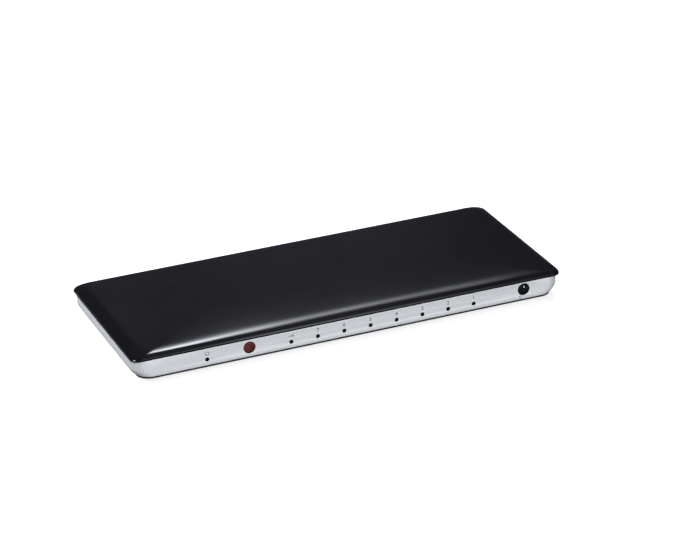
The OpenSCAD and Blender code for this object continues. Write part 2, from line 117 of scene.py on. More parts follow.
def circleLoop(radius, count):
    # circle and its outward normals
    turn = np.linspace(0, 2 * np.pi, count, endpoint=False)
    normal = np.stack((np.cos(turn), np.sin(turn)), -1)
    return radius * normal, normal


def roundRect(halfX, halfY, radius, steps):
    # rounded rectangles, one a row: quarter arcs about four corner centres, with the outward normals
    quarter = np.linspace(0, np.pi / 2, steps + 1)
    turn = (np.arange(4)[:, None] * np.pi / 2 + quarter).ravel()
    signX = np.repeat([1, -1, -1, 1], steps + 1)
    signY = np.repeat([1, 1, -1, -1], steps + 1)
    normal = np.stack((np.cos(turn), np.sin(turn)), -1)
    halfX, halfY, radius = (np.atleast_1d(np.asarray(v, float))[:, None] for v in (halfX, halfY, radius))
    x = signX * (halfX - radius) + radius * normal[:, 0]
    y = signY * (halfY - radius) + radius * normal[:, 1]
    return np.stack((x, y), -1), normal


def cornerLoop(corners, radius, steps):
    # anticlockwise polygon with round corners: each arc turns from one side's normal to the next side's
    corners = np.asarray(corners, float)
    side = np.roll(corners, -1, 0) - corners
    side /= np.linalg.norm(side, axis=1, keepdims=True)
    endNormal = np.stack((side[:, 1], -side[:, 0]), -1)
    startNormal = np.roll(endNormal, 1, 0)
    cosine = (startNormal * endNormal).sum(1)
    centre = corners - (startNormal + endNormal) * (radius / (1 + cosine))[:, None]
    startTurn = np.arctan2(startNormal[:, 1], startNormal[:, 0])
    turn = startTurn[:, None] + np.arccos(cosine)[:, None] * np.linspace(0, 1, steps + 1)
    normal = np.stack((np.cos(turn), np.sin(turn)), -1)
    return (centre[:, None] + radius * normal).reshape(-1, 2), normal.reshape(-1, 2)


def carried(loop, normal, profile, axis, centre=(0, 0, 0), caps=(), finish=0):
    # profile carried round a loop: a row moves each point out along its normal by the profile's first value
    # and along the axis by its second; caps names the rows that are closed by a face
    profile = np.asarray(profile, float)
    across = loop[None] + profile[:, :1, None] * normal[None]
    along = np.broadcast_to(profile[:, 1:2], across.shape[:2])
    if axis == "y":
        order = (across[..., 0], along, across[..., 1])
    else:
        order = (across[..., 0], across[..., 1], along)
    faces = gridFaces(len(profile), len(loop))
    faces += [[row * len(loop) + i for i in range(len(loop))] for row in caps]
    return patch(np.stack(order, -1) + np.asarray(centre), faces, finish=finish)


# materials

def linear(hexColour):
    # sRGB hex to linear red, green, blue and alpha
    value = np.array([int(hexColour[i:i + 2], 16) for i in (1, 3, 5)]) / 255
    rgb = np.where(value <= 0.04045, value / 12.92, ((value + 0.055) / 1.055) ** 2.4)
    return (*rgb.tolist(), 1.0)


def perMetre(size):
    # texture scale whose features are this many millimetres
    return 1 / (size * mm)


def addNode(tree, kind, inputs=None, stops=(), **settings):
    # adds a node, sets its settings, links each input that is a socket and sets each that is a value;
    # stops are the places and levels of a ramp, which starts with two of them
    node = tree.nodes.new(kind)
    for key, value in settings.items():
        setattr(node, key, value)
    for key, value in (inputs or {}).items():
        if isinstance(value, bpy.types.NodeSocket):
            tree.links.new(value, node.inputs[key])
        else:
            node.inputs[key].default_value = value
    for i, (at, level) in enumerate(stops):
        stop = node.color_ramp.elements[i] if i < 2 else node.color_ramp.elements.new(at)
        stop.position, stop.color = at, (level, level, level, 1)
    return node


# what the grains share: layers of finer detail, the strength of each next layer, and the middle level
grainForm = {"detail": 3.0, "nextLayer": 0.6, "middle": 0.5}


def surfacePattern(name, finish, constants):
    # two tones mixed by a grain, roughness swung by the same grain, and a bump of the grain's height
    material = bpy.data.materials.new(name)
    material.use_nodes = True
    tree = material.node_tree
    tree.nodes.clear()
    shader = addNode(tree, "ShaderNodeBsdfPrincipled", constants)
    addNode(tree, "ShaderNodeOutputMaterial", {"Surface": shader.outputs[0]})
    place = addNode(tree, "ShaderNodeTexCoord").outputs["Object"]
    stretch = addNode(tree, "ShaderNodeMapping", {
        "Vector": place, "Scale": finish.get("stretch", (1, 1, 1))})
    grain = addNode(tree, "ShaderNodeTexNoise", {
        "Vector": stretch.outputs[0], "Scale": perMetre(finish["grain"]),
        "Detail": finish.get("detail", grainForm["detail"]),
        "Roughness": grainForm["nextLayer"]}).outputs["Fac"]
    tone = addNode(tree, "ShaderNodeMapRange", {
        "Value": grain, "From Min": grainForm["middle"] - finish["contrast"],
        "From Max": grainForm["middle"] + finish["contrast"]}).outputs[0]
    mix = addNode(tree, "ShaderNodeMix", {"Factor": tone}, data_type="RGBA")
    mix.inputs["A"].default_value = linear(finish["dark"])
    mix.inputs["B"].default_value = linear(finish["light"])
    tree.links.new(mix.outputs["Result"], shader.inputs["Base Color"])
    low, high = finish["roughness"]
    rough = addNode(tree, "ShaderNodeMapRange", {"Value": tone, "To Min": low, "To Max": high})
    tree.links.new(rough.outputs[0], shader.inputs["Roughness"])
    bump = addNode(tree, "ShaderNodeBump", {
        "Height": grain, "Strength": finish["bump"], "Distance": finish["height"] * mm})
    tree.links.new(bump.outputs[0], shader.inputs["Normal"])
    return material


# gloss black ABS, moulded in a polished tool: deep black with mirror-like streaks
# and the faintest uneven gloss
glossAbs = surfacePattern("gloss_moulded_abs", {
    "grain": 14, "contrast": 0.3, "dark": "#08080a", "light": "#0c0c0e", "roughness": (0.05, 0.08),
    "bump": 0.03, "height": 0.01, "detail": 2.0}, {"IOR": 1.5})

# ABS sprayed with silver paint: soft even glow broken up by flakes, drawn at 0.5 mm so that they show
silverPaint = surfacePattern("sprayed_silver_abs", {
    "grain": 0.5, "contrast": 0.22, "dark": "#c2c6c9", "light": "#dfe2e4", "roughness": (0.42, 0.55),
    "bump": 0.25, "height": 0.02}, {"Metallic": 0.3})

# ABS as moulded, where no paint reached: dark and satin inside the holes
bareAbs = surfacePattern("bare_moulded_abs", {
    "grain": 0.6, "contrast": 0.25, "dark": "#0c0c0d", "light": "#151516", "roughness": (0.4, 0.5),
    "bump": 0.1, "height": 0.02}, {})

# steel plate with black powder coat: matt black with a fine pebble
powderCoat = surfacePattern("powder_coated_steel", {
    "grain": 0.7, "contrast": 0.2, "dark": "#121214", "light": "#1b1b1d", "roughness": (0.45, 0.6),
    "bump": 0.3, "height": 0.05}, {})

# rolled steel sheet with a gold flash: pale champagne metal with rolling streaks along the shell
goldFlash = surfacePattern("gold_flashed_steel", {
    "grain": 0.6, "contrast": 0.25, "dark": "#a89d82", "light": "#c2b89c", "roughness": (0.26, 0.36),
    "bump": 0.08, "height": 0.01, "stretch": (1, 0.2, 1)}, {"Metallic": 0.6})

# hard gold on copper strips: warm yellow metal, rubbed a little along its length
contactGold = surfacePattern("hard_gold_contact", {
    "grain": 0.3, "contrast": 0.25, "dark": "#c79a3c", "light": "#e8c66a", "roughness": (0.2, 0.32),
    "bump": 0.05, "height": 0.01, "stretch": (1, 0.1, 1)}, {"Metallic": 1.0})

# glass-filled polymer, moulded: satin black with short fibre marks
connectorPolymer = surfacePattern("moulded_glass_filled_polymer", {
    "grain": 0.4, "contrast": 0.25, "dark": "#0b0b0b", "light": "#161616", "roughness": (0.4, 0.55),
    "bump": 0.1, "height": 0.02}, {})

# dyed acrylic filter, moulded: dark red with a cloudy depth under a soft gloss
redAcrylic = surfacePattern("dyed_acrylic_filter", {
    "grain": 1.6, "contrast": 0.2, "dark": "#371816", "light": "#5e2f2a", "roughness": (0.25, 0.38),
    "bump": 0.04, "height": 0.02}, {"Specular IOR Level": 0.25})

# silicone rubber, moulded: dull black with a dusty grain
footRubber = surfacePattern("moulded_silicone_rubber", {
    "grain": 0.8, "contrast": 0.25, "dark": "#151515", "light": "#222222", "roughness": (0.7, 0.85),
    "bump": 0.2, "height": 0.05}, {})

# steel screws in black zinc: dark metal with a blue-grey sheen
blackZinc = surfacePattern("black_zinc_steel", {
    "grain": 0.5, "contrast": 0.25, "dark": "#26272a", "light": "#3a3b3f", "roughness": (0.3, 0.45),
    "bump": 0.1, "height": 0.02}, {"Metallic": 0.9})

# nickel-plated steel and brass: bright metal with drawing marks
brightNickel = surfacePattern("bright_nickel_plate", {
    "grain": 0.3, "contrast": 0.25, "dark": "#b4b2ac", "light": "#d2d0ca", "roughness": (0.18, 0.3),
    "bump": 0.05, "height": 0.01, "stretch": (1, 0.3, 1)}, {"Metallic": 1.0})

# solder mask over glass laminate: satin green with the weave just showing
solderMask = surfacePattern("solder_mask_laminate", {
    "grain": 1.2, "contrast": 0.25, "dark": "#072a17", "light": "#0d3d22", "roughness": (0.3, 0.42),
    "bump": 0.1, "height": 0.03}, {"Coat Weight": 0.3})

# epoxy lens on a lamp that is off: coloured dark as painted shade for the deep hole it sits in, with a wet
# gloss
darkLensPaintedShade = surfacePattern("dark_lens_painted_shade", {
    "grain": 0.6, "contrast": 0.25, "dark": "#0d0d0e", "light": "#1b1b1c", "roughness": (0.1, 0.18),
    "bump": 0.03, "height": 0.01}, {"IOR": 1.54})

# filled epoxy, moulded: flat charcoal with fine filler
chipEpoxy = surfacePattern("moulded_filled_epoxy", {
    "grain": 0.3, "contrast": 0.25, "dark": "#18181a", "light": "#242427", "roughness": (0.55, 0.7),
    "bump": 0.12, "height": 0.02}, {})

# sintered ferrite: dark grey ceramic
ferrite = surfacePattern("sintered_ferrite", {
    "grain": 0.4, "contrast": 0.25, "dark": "#2c2c2e", "light": "#414144", "roughness": (0.5, 0.65),
    "bump": 0.15, "height": 0.02}, {})

# drawn aluminium can: pale metal with vertical draw lines
drawnAluminium = surfacePattern("drawn_aluminium", {
    "grain": 0.3, "contrast": 0.25, "dark": "#b8babc", "light": "#d5d6d8", "roughness": (0.25, 0.38),
    "bump": 0.06, "height": 0.01, "stretch": (1, 1, 0.1)}, {"Metallic": 1.0})

# pad-printed ink: thin grey film with a slightly patchy edge
printInk = surfacePattern("pad_printed_ink", {
    "grain": 0.25, "contrast": 0.3, "dark": "#55575a", "light": "#6e7075", "roughness": (0.45, 0.6),
    "bump": 0.05, "height": 0.005}, {})

print("materials:", len(bpy.data.materials))


# posts under the cover, one for each case screw; headR is the radius of the screws' heads,
# which set the screws' box
coverPost = {"outer": 3.2, "bore": 1.15, "boreDepth": 8.0, "headR": 2.2, "count": 32}


def coverPosts(form, top):
    # tube closed at the top: a ring profile turned about each screw's axis
    foot = boxOf("side_band")[0][2]
    loop, normal = circleLoop(0, form["count"])
    boreTop = foot + form["boreDepth"]
    ring = [(0, top), (form["outer"], top), (form["outer"], foot), (form["bore"], foot),
            (form["bore"], boreTop), (0, boreTop)]
    return [carried(loop, normal, ring, "z", place) for place in cornerPlaces("case_screws", form["headR"])]


# top cover: loops of a rounded rectangle that shrink and rise along one closed profile
coverForm = {
    "lip": 0.5, "bevel": 0.35, "bevelSteps": 5, "shoulder": 7.0, "shoulderSteps": 28,
    "crown": 0.5, "crownReach": 0.75, "crownSteps": 14, "cornerR": 4.5, "crownR": 15.0, "cornerSteps": 20,
    "wall": 2.0, "skirtInset": 2.8, "skirtWall": 1.2, "skirtDepth": 0.6, "pocketGap": 1.0, "innerR": 7.0,
}


def coverProfile(form, height, halfW):
    # inset and height from the foot up: round foot, upright lip, quarter ellipse up to where it is as steep
    # as the crown's start, and a parabola that levels off
    rise = height - form["lip"] - form["crown"]
    slope = 2 * form["crown"] / (form["crownReach"] * (halfW - form["shoulder"]))
    last = math.atan2(rise, slope * form["shoulder"])
    turn = np.linspace(0, last, form["shoulderSteps"] + 1)
    foot = arc(form["bevel"], form["bevel"], form["bevel"], 270, 180, form["bevelSteps"])
    shoulder = np.stack((form["shoulder"] * (1 - np.cos(turn)), form["lip"] + rise * np.sin(turn)), -1)
    left = height - shoulder[-1, 1]
    share = np.linspace(0, 1, form["crownSteps"] + 1)[1:]
    crown = np.stack((shoulder[-1, 0] + share * 2 * left / slope, height - left * (1 - share) ** 2), -1)
    return np.concatenate((foot, shoulder, crown, [(halfW, height)]))


def coverLoops(form, inset, height, radius, half):
    # one rounded rectangle for each inset, its corners no rounder than its half width
    radius = np.minimum(radius, half[1] - inset)
    loop = roundRect(half[0] - inset, half[1] - inset, radius, form["cornerSteps"])[0]
    level = np.broadcast_to(height[:, None], loop.shape[:2])
    return np.concatenate((loop, level[..., None]), -1)


def makeCover(form):
    # outer profile from the crown down, then the skirt and the pocket inside, with the posts below its roof
    low, high = boxOf("top_cover")
    rim = boxOf("side_band")[1][2]
    half = (high - low)[:2] / 2
    outer = coverProfile(form, high[2] - rim, half[1])
    share = np.minimum(outer[:, 0] / form["shoulder"], 1)
    radius = form["cornerR"] + (form["crownR"] - form["cornerR"]) * share
    skirtIn = form["skirtInset"] + form["skirtWall"]
    pocketIn = form["shoulder"] + form["pocketGap"]
    roof = high[2] - rim - form["crown"] - form["wall"]
    inner = np.array([
        (form["bevel"], 0), (form["skirtInset"], 0), (form["skirtInset"], -form["skirtDepth"]),
        (skirtIn, -form["skirtDepth"]), (skirtIn, form["lip"]), (pocketIn, form["lip"]),
        (pocketIn, roof), (half[1], roof)])
    innerR = np.full(len(inner), form["innerR"])
    innerR[0] = radius[0]
    profile = np.concatenate((outer[::-1], inner))
    radius = np.concatenate((radius[::-1], innerR))
    loops = coverLoops(form, profile[:, 0], rim + profile[:, 1], radius, half)
    shell = patch(loops, gridFaces(*loops.shape[:2]))
    makePiece("gloss_top_cover", [shell] + coverPosts(coverPost, rim + roof), [glossAbs],
              stands=("top_cover",))


makeCover(coverForm)
print("cover made")


# panel openings: loops in x and z with outward normals, shared by the band and the sockets
portForm = {"width": 14.0, "height": 4.55, "chamfer": 2.0, "round": 0.5, "steps": 6}
lampRise = 1.2  # height of the lamps' lenses above the board
inputNumbers = range(1, 8)
lampNodes = ["led_power", "led_out"] + [f"led_in_{i}" for i in inputNumbers]
portNames = ["out"] + [f"in_{i}" for i in inputNumbers]
insertNodes = [f"hdmi_insert_{port}" for port in portNames]


def portLoop(form):
    # socket outline: a rectangle with its lower corners cut at 45 degrees and every corner rounded
    x, z, cut = form["width"] / 2, form["height"] / 2, form["chamfer"]
    corners = [(x, z), (-x, z), (-x, cut - z), (cut - x, -z), (x - cut, -z), (x, cut - z)]
    return cornerLoop(corners, form["round"], form["steps"])


def holeCentre(node):
    # x and z of the piece that shows through a hole
    low, high = boxOf(node)
    if node.startswith("led"):
        return np.array([(low[0] + high[0]) / 2, low[2] + lampRise])
    return ((low + high) / 2)[[0, 2]]


# silver band: a wall section carried round the case, its ends sloped in below,
# its front and rear panels pierced
bandForm = {
    "slope": 3.0, "slopeRise": 2.8, "soft": 1.5, "bendRows": 9, "cornerR": 7.5, "innerShare": 0.7,
    "cornerSteps": 20, "wall": 2.0, "edge": 0.3, "edgeSteps": 4, "rim": 0.08, "rimSteps": 3,
    "lampD": 2.15, "lampCount": 24, "windowD": 6.25, "buttonD": 6.5, "jackD": 6.1, "holeCount": 48,
    "portGap": 0.7,
}


def bandLoops(form, depth, rise, low, high):
    # outlines at depths behind the face and rises above the foot: below the slope's top each end moves in
    # evenly, the bend between is a parabola, and the corners tighten by a share of the depth
    half = (high - low)[:2] / 2
    above = form["slopeRise"] - rise
    bend = np.clip(above + form["soft"], 0, 2 * form["soft"]) ** 2 / (4 * form["soft"])
    inset = np.where(above > form["soft"], above, bend) * form["slope"] / form["slopeRise"]
    radius = form["cornerR"] - depth * form["innerShare"]
    loop = roundRect(half[0] - inset - depth, half[1] - depth, radius, form["cornerSteps"])[0]
    z = np.broadcast_to((low[2] + rise)[:, None], loop.shape[:2])
    return np.concatenate((loop, z[..., None]), -1)


def bandPanel(corners, holes, y, finish):
    # flat panel inside an outline, filled with triangles round its holes
    loops = [np.asarray(corners)] + holes
    tris = tessellate_polygon([[Vector((x, z, 0)) for x, z in loop] for loop in loops])
    flat = np.concatenate(loops)
    points = np.stack((flat[:, 0], np.full(len(flat), y), flat[:, 1]), -1)
    return patch(points, [list(t) for t in tris], flat=True, finish=finish)


def bandHole(form, loop, normal, face, back):
    # painted quarter round from the panel's face, then a bare wall straight to its back
    sign = np.sign(back - face)
    bend = arc(form["rim"], form["rim"], form["rim"], 270, 180, form["rimSteps"])
    bend[:, 1] = face + sign * bend[:, 1]
    return [carried(loop, normal, bend, "y"), carried(loop, normal, [bend[-1], (0, back)], "y", finish=1)]


def makeBand(form):
    # section rows carried round the outlines: round foot, outer face, round top, inner face, and back to the
    # foot; the front and rear panels are left out of that grid and filled round their holes
    low, high = boxOf("side_band")
    height, edge, wall = high[2] - low[2], form["edge"], form["wall"]
    bend = arc(edge, edge, edge, 270, 180, form["edgeSteps"])
    top = np.stack((bend[::-1, 0], height - bend[::-1, 1]), -1)
    turns = form["slopeRise"] + form["soft"] * np.linspace(-1, 1, form["bendRows"])
    face = np.stack((np.zeros(len(turns)), turns), -1)
    inside = np.stack((np.full(len(turns), wall), turns[::-1]), -1)
    section = np.concatenate((bend, face, top, [(wall, height)], inside, [(wall, 0), bend[0]]))
    loops = bandLoops(form, section[:, 0], section[:, 1], low, high)
    count, cols = loops.shape[:2]
    faces = np.array(gridFaces(count, cols)).reshape(count - 1, cols, 4)
    faceEnd = form["edgeSteps"] + len(turns) + 2  # past the row that starts the round top
    outer = np.arange(form["edgeSteps"], faceEnd)
    inner = np.arange(faceEnd + form["edgeSteps"], count - 1)
    arcCols = form["cornerSteps"] + 1
    rearCol, frontCol = arcCols - 1, 3 * arcCols - 1  # columns that start the rear and the front panel
    keep = np.ones((count - 1, cols), bool)
    for span in (outer, inner):
        keep[span[0]:span[-1], [rearCol, frontCol]] = False
    painted = np.arange(count - 1) < inner[0]
    patches = [patch(loops, faces[painted][keep[painted]].tolist()),
               patch(loops, faces[~painted][keep[~painted]].tolist(), finish=1)]
    port, portNormal = portLoop(portForm)
    frontHoles = [(n, circleLoop(form["lampD"] / 2, form["lampCount"])) for n in lampNodes]
    frontHoles += [("ir_window", circleLoop(form["windowD"] / 2, form["holeCount"])),
                   ("select_button", circleLoop(form["buttonD"] / 2, form["holeCount"]))]
    rearHoles = [(n, (port + form["portGap"] * portNormal, portNormal)) for n in insertNodes]
    rearHoles += [("dc_jack_pin", circleLoop(form["jackD"] / 2, form["holeCount"]))]
    for col, holes, y in ((frontCol, frontHoles, low[1]), (rearCol, rearHoles, high[1])):
        back = y - math.copysign(wall, y)
        placed = [(loop + holeCentre(n), normal) for n, (loop, normal) in holes]
        for span, level, grow, finish in ((outer, y, form["rim"], 0), (inner, back, 0, 1)):
            outline = np.concatenate((loops[span, col], loops[span[::-1], col + 1]))[:, [0, 2]]
            openings = [loop + grow * normal for loop, normal in placed]
            patches.append(bandPanel(outline, openings, level, finish))
        for loop, normal in placed:
            patches += bandHole(form, loop, normal, y, back)
    makePiece("silver_side_band", patches, [silverPaint, bareAbs], stands=("side_band",))


makeBand(bandForm)
print("band made")


# socket shells: sheet carried round the port's outline, with a rolled bell mouth and leaf springs;
# the shares say how far the flare goes, how round its rim is, how far the rim lifts and where it ends
shellForm = {
    "sheet": 0.35, "flare": 0.15, "lip": 0.5, "length": 11.2, "flareRows": 4, "rollSteps": 8,
    "flareShare": 0.8, "rimShare": 0.81, "rimLift": 0.1, "rimEnd": 0.3,
}
springForm = {
    "width": 2.0, "sheet": 0.2, "start": 1.2, "length": 5.0, "dip": 0.42, "steps": 14, "spread": 3.5,
}


def shellProfile(form):
    # grow and depth: inside wall, flared mouth as a parabola, round rim, lip, outside wall,
    # and back to the start
    sheet, lip, length, share = form["sheet"], form["lip"], form["length"], form["flareShare"]
    outer = sheet + form["flare"]
    t = np.linspace(0, share, form["flareRows"])
    mouth = np.stack((form["flare"] * t ** 2, -lip * (1 - t)), -1)
    rimR = form["rimShare"] * outer / 2
    rim = arc(form["flare"] * share ** 2 + rimR, -lip * (1 - share), rimR, 180, 0, form["rollSteps"])[1:-1]
    rest = [(outer, -lip * form["rimEnd"]), (outer, -lip), (sheet, -lip), (sheet, -length), (0, -length)]
    return np.concatenate(([(0, -length)], mouth, rim + (0, lip * form["rimLift"]), rest))


def shellSpring(form, x, wallZ, mouth, sense):
    # leaf spring: a strip whose line dips into the socket by a squared sine, doubled by its thickness
    share = np.linspace(0, 1, form["steps"] + 1)
    y = mouth - form["start"] - form["length"] * share
    z = wallZ - sense * form["dip"] * np.sin(np.pi * share) ** 2
    halfW, thick = form["width"] / 2, form["sheet"]
    side = np.array([(-halfW, 0), (halfW, 0), (halfW, sense * thick), (-halfW, sense * thick)])
    across = x + np.tile(side[:, 0], (len(y), 1))
    along = np.tile(y[:, None], (1, len(side)))
    return patch(np.stack((across, along, z[:, None] + side[:, 1]), -1), stripFaces(len(y)))


def makeShell(port):
    # the profile carried round the port's outline, with two springs in the roof and two in the floor
    node = f"hdmi_shell_{port}"
    mouth = boxOf(node)[1][1]
    x, z = holeCentre(f"hdmi_insert_{port}")
    loop, normal = portLoop(portForm)
    patches = [carried(loop, normal, shellProfile(shellForm), "y", (x, mouth, z))]
    for side in (-1, 1):
        for sense in (1, -1):
            wallZ = z + sense * portForm["height"] / 2
            patches.append(shellSpring(springForm, x + side * springForm["spread"], wallZ, mouth, sense))
    makePiece(f"socket_shell_{port}", patches, [goldFlash], stands=(node,))


# socket cores: a plug that fills the shell's back and a tongue with a bevelled tip
coreForm = {
    "length": 4.2, "gap": 0.05, "faceEdge": 0.1, "faceIn": 0.15, "tongueW": 11.2, "tongueT": 1.15,
    "tongueRise": 0.25, "tip": 1.0, "bevel": 0.25, "bevelShare": 0.6, "round": 0.2, "steps": 3,
}


def makeCore(form, port):
    # two short profiles with closed ends, one carried round the port's outline and one round the tongue's
    node = f"hdmi_insert_{port}"
    mouth = boxOf(f"hdmi_shell_{port}")[1][1]
    x, z = holeCentre(node)
    back = mouth - shellForm["length"]
    face = back + form["length"]
    plugRows = [(-form["gap"], back), (-form["gap"], face - form["faceEdge"]), (-form["faceIn"], face)]
    loop, normal = portLoop(portForm)
    plug = carried(loop, normal, plugRows, "y", (x, 0, z), caps=(0, 2))
    tip = mouth - form["tip"]
    tongueRows = [(0, face), (0, tip - form["bevel"]), (-form["bevel"] * form["bevelShare"], tip)]
    loops, normal = roundRect(form["tongueW"] / 2, form["tongueT"] / 2, form["round"], form["steps"])
    tongue = carried(loops[0], normal, tongueRows, "y", (x, 0, z + form["tongueRise"]), caps=(0, 2))
    makePiece(f"socket_core_{port}", [plug, tongue], [connectorPolymer], stands=(node,))


for port in portNames:
    makeShell(port)
    makeCore(coreForm, port)
print("sockets made:", len(portNames))


# select button: domed cap, collar and stem turned about its own axis
buttonForm = {
    "dome": 0.9, "domeSteps": 9, "edge": 0.25, "edgeFrom": -60, "edgeSteps": 5, "capR": 2.8,
    "collarR": 3.5, "collarT": 0.8, "stemR": 1.5, "stemL": 2.8, "count": 64,
}


def makeButton(form):
    # the dome is a sphere's cap whose radius follows from its height and the cap's radius
    low, high = boxOf("select_button")
    x, z = holeCentre("select_button")
    domeR = (form["capR"] ** 2 + form["dome"] ** 2) / (2 * form["dome"])
    reach = math.asin((form["capR"] - form["edge"]) / domeR)
    turn = np.linspace(0, reach, form["domeSteps"] + 1)
    dome = np.stack((domeR * np.sin(turn), low[1] + domeR * (1 - np.cos(turn))), -1)
    shoulder = arc(form["capR"] - form["edge"], dome[-1, 1] + form["edge"], form["edge"],
                   form["edgeFrom"], 0, form["edgeSteps"])
    stemEnd = high[1]
    collarBack = stemEnd - form["stemL"]
    collarFront = collarBack - form["collarT"]
    rest = [(form["capR"], collarFront), (form["collarR"], collarFront), (form["collarR"], collarBack),
            (form["stemR"], collarBack), (form["stemR"], stemEnd), (0, stemEnd)]
    loop, normal = circleLoop(0, form["count"])
    profile = np.concatenate((dome, shoulder, rest))
    makePiece("select_button_cap", [carried(loop, normal, profile, "y", (x, 0, z))], [glossAbs],
              body="button", stands=("select_button",), sharp=50)


makeButton(buttonForm)

# receiver window: a lens with a shallow crown and a soft edge in front of its collar
windowForm = {
    "radius": 3.0, "recess": 0.45, "crown": 0.12, "lensSteps": 8, "edge": 0.15, "edgeSteps": 4,
    "collarR": 3.5, "collarT": 0.8, "count": 64,
}


def makeWindow(form):
    # a parabola across the lens, a quarter round at its edge and a straight collar, turned about the axis
    low, high = boxOf("ir_window")
    x, z = holeCentre("ir_window")
    share = np.linspace(0, 1, form["lensSteps"] + 1)
    face = low[1] + form["recess"]
    lensR = form["radius"] - form["edge"]
    lens = np.stack((share * lensR, face - form["crown"] * (1 - share ** 2)), -1)
    edge = arc(lensR, face + form["edge"], form["edge"], -90, 0, form["edgeSteps"])
    collar = high[1] - form["collarT"]
    rest = [(form["radius"], collar), (form["collarR"], collar), (form["collarR"], high[1]), (0, high[1])]
    loop, normal = circleLoop(0, form["count"])
    profile = np.concatenate((lens, edge[1:], rest))
    makePiece("receiver_window", [carried(loop, normal, profile, "y", (x, 0, z))], [redAcrylic],
              stands=("ir_window",), sharp=50)


makeWindow(windowForm)

# rubber feet: tapered pads with a round lower edge
footForm = {"radius": 5.0, "taper": 0.65, "edge": 0.5, "edgeEnd": -10, "edgeSteps": 6, "count": 48}


def makeFeet(form):
    # flat sole, part of a circle at its edge and a straight taper up to the plate, turned about each axis
    top = boxOf("rubber_feet")[1][2]
    soleR = form["radius"] - form["taper"] - form["edge"]
    edge = arc(soleR, form["edge"], form["edge"], -90, form["edgeEnd"], form["edgeSteps"])
    profile = np.concatenate(([(0, 0)], edge, [(form["radius"], top), (0, top)]))
    loop, normal = circleLoop(0, form["count"])
    places = cornerPlaces("rubber_feet", form["radius"])
    makePiece("moulded_feet", [carried(loop, normal, profile, "z", place) for place in places],
              [footRubber], stands=("rubber_feet",))


makeFeet(footForm)
print("button, window and feet made")


# printed marks: plain numbers and signs in a film of ink on the panels
printForm = {
    "size": 2.9, "bold": 0.03, "line": 0.32, "film": 0.02, "frontRise": 3.2, "rearDrop": 3.68,
    "rearShare": 0.5, "signR": 0.95, "arcSteps": 20,
    "loopAside": -1.9, "loopRise": -3.95, "loopShare": 0.7, "jackAside": 5.2,
}


def onPanel(points, faces, x, y, z, facing):
    # across, up and out from the panel become x, z and y, so that the mark reads from the panel's outside
    spot = np.stack((-facing * points[:, 0], facing * points[:, 2], points[:, 1]), -1)
    return patch(spot + (x, y, z), faces, flat=True)


def numberMark(text, size, form):
    # a number's outline, filled and thickened
    curve = bpy.data.curves.new("number", "FONT")
    curve.body, curve.size, curve.align_x, curve.align_y = text, size, "CENTER", "CENTER"
    curve.extrude, curve.offset = form["film"] / 2, form["bold"]
    holder = bpy.data.objects.new("number", curve)
    bpy.context.scene.collection.objects.link(holder)
    mesh = bpy.data.meshes.new_from_object(holder.evaluated_get(bpy.context.evaluated_depsgraph_get()))
    points = np.empty(len(mesh.vertices) * 3)
    mesh.vertices.foreach_get("co", points)
    faces = [list(p.vertices) for p in mesh.polygons]
    bpy.data.objects.remove(holder)
    bpy.data.curves.remove(curve)
    bpy.data.meshes.remove(mesh)
    return points.reshape(-1, 3) + (0, 0, form["film"] / 2), faces


def lineMark(line, pen, form):
    # a line drawn with a square pen: each point is set off to both sides of the line and through the film
    along = np.gradient(line, axis=0)
    along /= np.linalg.norm(along, axis=1, keepdims=True)
    side = np.stack((-along[:, 1], along[:, 0]), -1) * pen / 2
    flat = np.stack((line + side, line - side, line - side, line + side), 1)
    depth = np.tile([0, 0, form["film"], form["film"]], (len(line), 1))
    return np.concatenate((flat, depth[..., None]), -1).reshape(-1, 3), stripFaces(len(line))


def makePrints(form):
    # numbers by the lamps and sockets, then the signs, whose lines are drawn in units of the signs' radius
    low, high = boxOf("side_band")
    front, rear = [], []
    for i in inputNumbers:
        x, z = holeCentre(f"led_in_{i}")
        mark = numberMark(str(i), form["size"], form)
        front.append(onPanel(*mark, x, low[1], z + form["frontRise"], -1))
        x, z = holeCentre(f"hdmi_insert_in_{i}")
        mark = numberMark(str(i), form["size"] * form["rearShare"], form)
        rear.append(onPanel(*mark, x, high[1], z - form["rearDrop"], 1))
    arrow = [[(-1.4, 0), (1.4, 0)], [(0.6, 0.8), (1.4, 0), (0.6, -0.8)]]
    power = [arc(0, 0, 1, 130, 410, form["arcSteps"]), [(0, 0.2), (0, 1.3)]]
    turnRound = [arc(0, 0, 1, 60, 360, form["arcSteps"]), [(0.5, 0.35), (1, -0.1), (1.5, 0.35)]]
    direct = [[(-1.3, 0.4), (1.3, 0.4)]] + [[(k - 0.3, -0.4), (k + 0.3, -0.4)] for k in (-1, 0, 1)]
    marks = (
        (front, arrow, "led_out", 0, form["frontRise"], 1),
        (front, power, "led_power", 0, form["frontRise"], 1),
        (front, turnRound, "select_button", form["loopAside"], form["loopRise"], form["loopShare"]),
        (rear, arrow, "hdmi_insert_out", 0, -form["rearDrop"], form["rearShare"]),
        (rear, direct, "dc_jack_pin", form["jackAside"], 0, 1),
    )
    for panel, lines, node, aside, rise, share in marks:
        x, z = holeCentre(node)
        y, facing = (low[1], -1) if panel is front else (high[1], 1)
        for line in lines:
            mark = lineMark(np.array(line) * form["signR"] * share, form["line"] * share, form)
            panel.append(onPanel(*mark, x + aside, y, z + rise, facing))
    makePiece("front_marks", front, [printInk])
    makePiece("rear_marks", rear, [printInk])


makePrints(printForm)
print("prints made")


